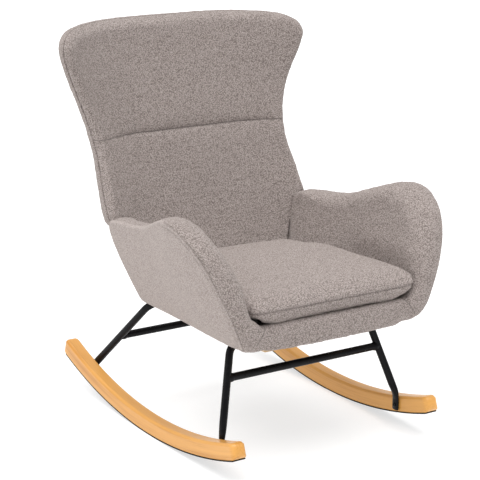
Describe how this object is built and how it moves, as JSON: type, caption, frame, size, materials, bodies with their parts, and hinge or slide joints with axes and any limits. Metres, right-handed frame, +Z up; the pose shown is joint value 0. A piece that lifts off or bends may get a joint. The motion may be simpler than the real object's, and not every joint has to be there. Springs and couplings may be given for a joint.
{
  "type": "wingback rocking chair",
  "caption": "Padded wingback rocking chair with low curved arms and a loose seat cushion, on black steel tube legs and two curved wooden rockers.",
  "frame": {"origin": "on the floor, under the middle of the chair's length and width", "axes": "+Z up, the chair faces -Y, +X is the sitter's left"},
  "size_m": [0.7368, 0.8623, 0.985],
  "materials": {
    "fabric": "matte",
    "panel_fabric": "matte",
    "rocker_wood": "satin",
    "tube": "satin",
    "screw": "satin",
    "grip_strip": "matte",
    "timber": "matte",
    "plywood": "matte",
    "webbing": "matte",
    "dust_cover": "matte"
  },
  "bodies": {
    "chair": {"arm_pad_left": "fabric", "arm_pad_right": "fabric", "arm_ply_left": "plywood", "arm_ply_right": "plywood", "back_bolt_left": "screw", "back_bolt_right": "screw", "back_bottom_rail": "timber", "back_front_pad": "fabric", "back_middle_rail": "timber", "back_rear_cover": "fabric", "back_stile_left": "timber", "back_stile_right": "timber", "back_strap_1": "webbing", "back_strap_2": "webbing", "back_strap_3": "webbing", "back_strap_4": "webbing", "back_strap_5": "webbing", "back_strap_6": "webbing", "back_top_rail": "timber", "dust_cover": "dust_cover", "front_apron": "fabric", "front_crossbar": "tube", "front_foot_screw_left": "screw", "front_foot_screw_right": "screw", "front_leg_frame": "tube", "front_plate_left": "tube", "front_plate_right": "tube", "front_plate_screw_left_a": "screw", "front_plate_screw_left_b": "screw", "front_plate_screw_right_a": "screw", "front_plate_screw_right_b": "screw", "front_rail": "timber", "grip_strip_left": "grip_strip", "grip_strip_right": "grip_strip", "rear_crossbar": "tube", "rear_foot_screw_left": "screw", "rear_foot_screw_right": "screw", "rear_leg_frame": "tube", "rear_plate_left": "tube", "rear_plate_right": "tube", "rear_plate_screw_left_a": "screw", "rear_plate_screw_left_b": "screw", "rear_plate_screw_right_a": "screw", "rear_plate_screw_right_b": "screw", "rear_rail": "timber", "rocker_left": "rocker_wood", "rocker_right": "rocker_wood", "seat_deck": "fabric", "seat_strap_1": "webbing", "seat_strap_2": "webbing", "seat_strap_3": "webbing", "seat_strap_4": "webbing", "side_panel_left": "panel_fabric", "side_panel_right": "panel_fabric", "side_rail_left": "timber", "side_rail_right": "timber"},
    "cushion": {"seat_cushion": "fabric"}
  },
  "joints": [
    {"name": "seat_cushion_lift", "type": "slide", "parent": "chair", "child": "cushion", "axis": [0, 0, 1], "range_m": [0, 0.45]}
  ]
}
